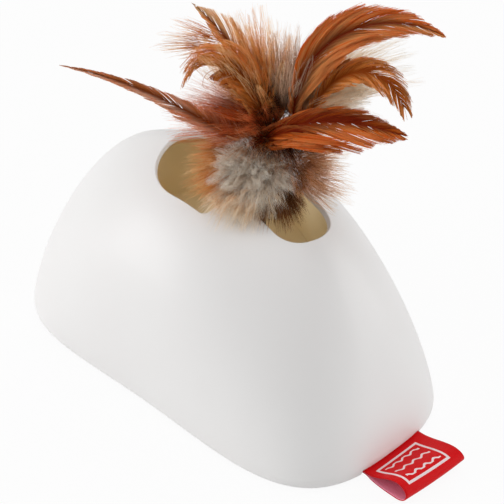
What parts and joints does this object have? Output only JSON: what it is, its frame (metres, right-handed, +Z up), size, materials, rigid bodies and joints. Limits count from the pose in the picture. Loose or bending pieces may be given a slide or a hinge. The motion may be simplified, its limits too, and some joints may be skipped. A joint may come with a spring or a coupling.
{
  "type": "motion-activated cat toy",
  "caption": "White loaf-shaped cat toy on rubber feet; a vibration sensor starts a geared wand that sweeps a feather tuft along an opening in its crown.",
  "frame": {"origin": "centre of the base plate's underside, 1.2 mm above the surface that the rubber feet rest on", "axes": "+X along the mound towards the end with the ribbon tag, +Z up, Y across"},
  "size_m": [0.2175, 0.1077, 0.1775],
  "materials": {
    "shell_white": "satin",
    "tub_tan": "matte",
    "base_white": "fine texture",
    "rubber_grey": "matte",
    "steel": "plated",
    "board_green": "satin",
    "component_black": "satin",
    "cell_wrap": "gloss",
    "nickel": "bright",
    "nylon": "satin",
    "wand_black": "satin",
    "brass": "bright",
    "frame_grey": "matte",
    "lead_red": "satin",
    "lead_black": "satin",
    "ribbon_red": "woven",
    "down_brown": "fluffy",
    "down_cream": "fluffy",
    "down_white": "fluffy",
    "hackle_rust": "sheen"
  },
  "bodies": {
    "root": {"top_shell": "shell_white", "opening_tub": "tub_tan", "base_plate": "base_white", "rubber_feet": "rubber_grey", "shell_screws": "steel", "board_screws": "steel", "frame_screws": "steel", "gear_screws": "steel", "strap_screws": "steel", "circuit_board": "board_green", "board_components": "component_black", "vibration_sensor": "component_black", "battery_cells": "cell_wrap", "battery_contacts": "nickel", "battery_springs": "nickel", "power_switch_body": "component_black", "second_gear_pin": "steel", "first_gear_pin": "steel", "gear_frame": "frame_grey", "gear_cover": "frame_grey", "shaft_bushes": "brass", "motor_can": "nickel", "motor_strap": "steel", "motor_leads": "lead_red", "battery_leads": "lead_black", "switch_leads": "lead_black", "woven_tag": "ribbon_red"},
    "battery_door": {"battery_door": "base_white"},
    "power_switch": {"power_switch_knob": "component_black"},
    "wand": {"drive_arm": "nylon", "arm_shaft": "steel", "wand_rod": "wand_black", "feather_ferrule": "brass", "brown_down": "down_brown", "cream_plume": "down_cream", "white_down": "down_white", "left_long_feather": "hackle_rust", "left_upper_feather": "hackle_rust", "left_curled_feather": "hackle_rust", "right_upper_feather": "hackle_rust", "right_curled_feather": "hackle_rust", "right_level_feather": "hackle_rust", "short_spike_feather": "hackle_rust"},
    "second_gear": {"second_gear": "nylon"},
    "first_gear": {"first_gear": "nylon"},
    "motor_rotor": {"motor_pinion": "brass", "motor_shaft": "steel"}
  },
  "joints": [
    {"name": "arm_swing", "type": "hinge", "parent": "root", "child": "wand", "pos_m": [0.023, 0, 0.028], "axis": [0, 1, 0], "range_deg": [-24, 18]},
    {"name": "second_gear_spin", "type": "hinge", "parent": "root", "child": "second_gear", "pos_m": [0.04664, 0, 0.02383], "axis": [0, 1, 0], "range_deg": [-92, 122]},
    {"name": "first_gear_spin", "type": "hinge", "parent": "root", "child": "first_gear", "pos_m": [0.05963, 0, 0.03133], "axis": [0, 1, 0], "range_deg": [-485, 365]},
    {"name": "motor_spin", "type": "hinge", "parent": "root", "child": "motor_rotor", "pos_m": [0.07144, 0, 0.03342], "axis": [0, 1, 0], "range_deg": [-1810, 2410]},
    {"name": "battery_door_hinge", "type": "hinge", "parent": "root", "child": "battery_door", "pos_m": [-0.0798, 0, 0.0011], "axis": [0, 1, 0], "range_deg": [0, 75]},
    {"name": "power_slide", "type": "slide", "parent": "root", "child": "power_switch", "axis": [1, 0, 0], "range_m": [0, 0.003]}
  ],
  "couplings": [
    {"joint": "second_gear_spin", "follows": "arm_swing", "ratio": -5},
    {"joint": "first_gear_spin", "follows": "arm_swing", "ratio": 20},
    {"joint": "motor_spin", "follows": "arm_swing", "ratio": -100}
  ]
}
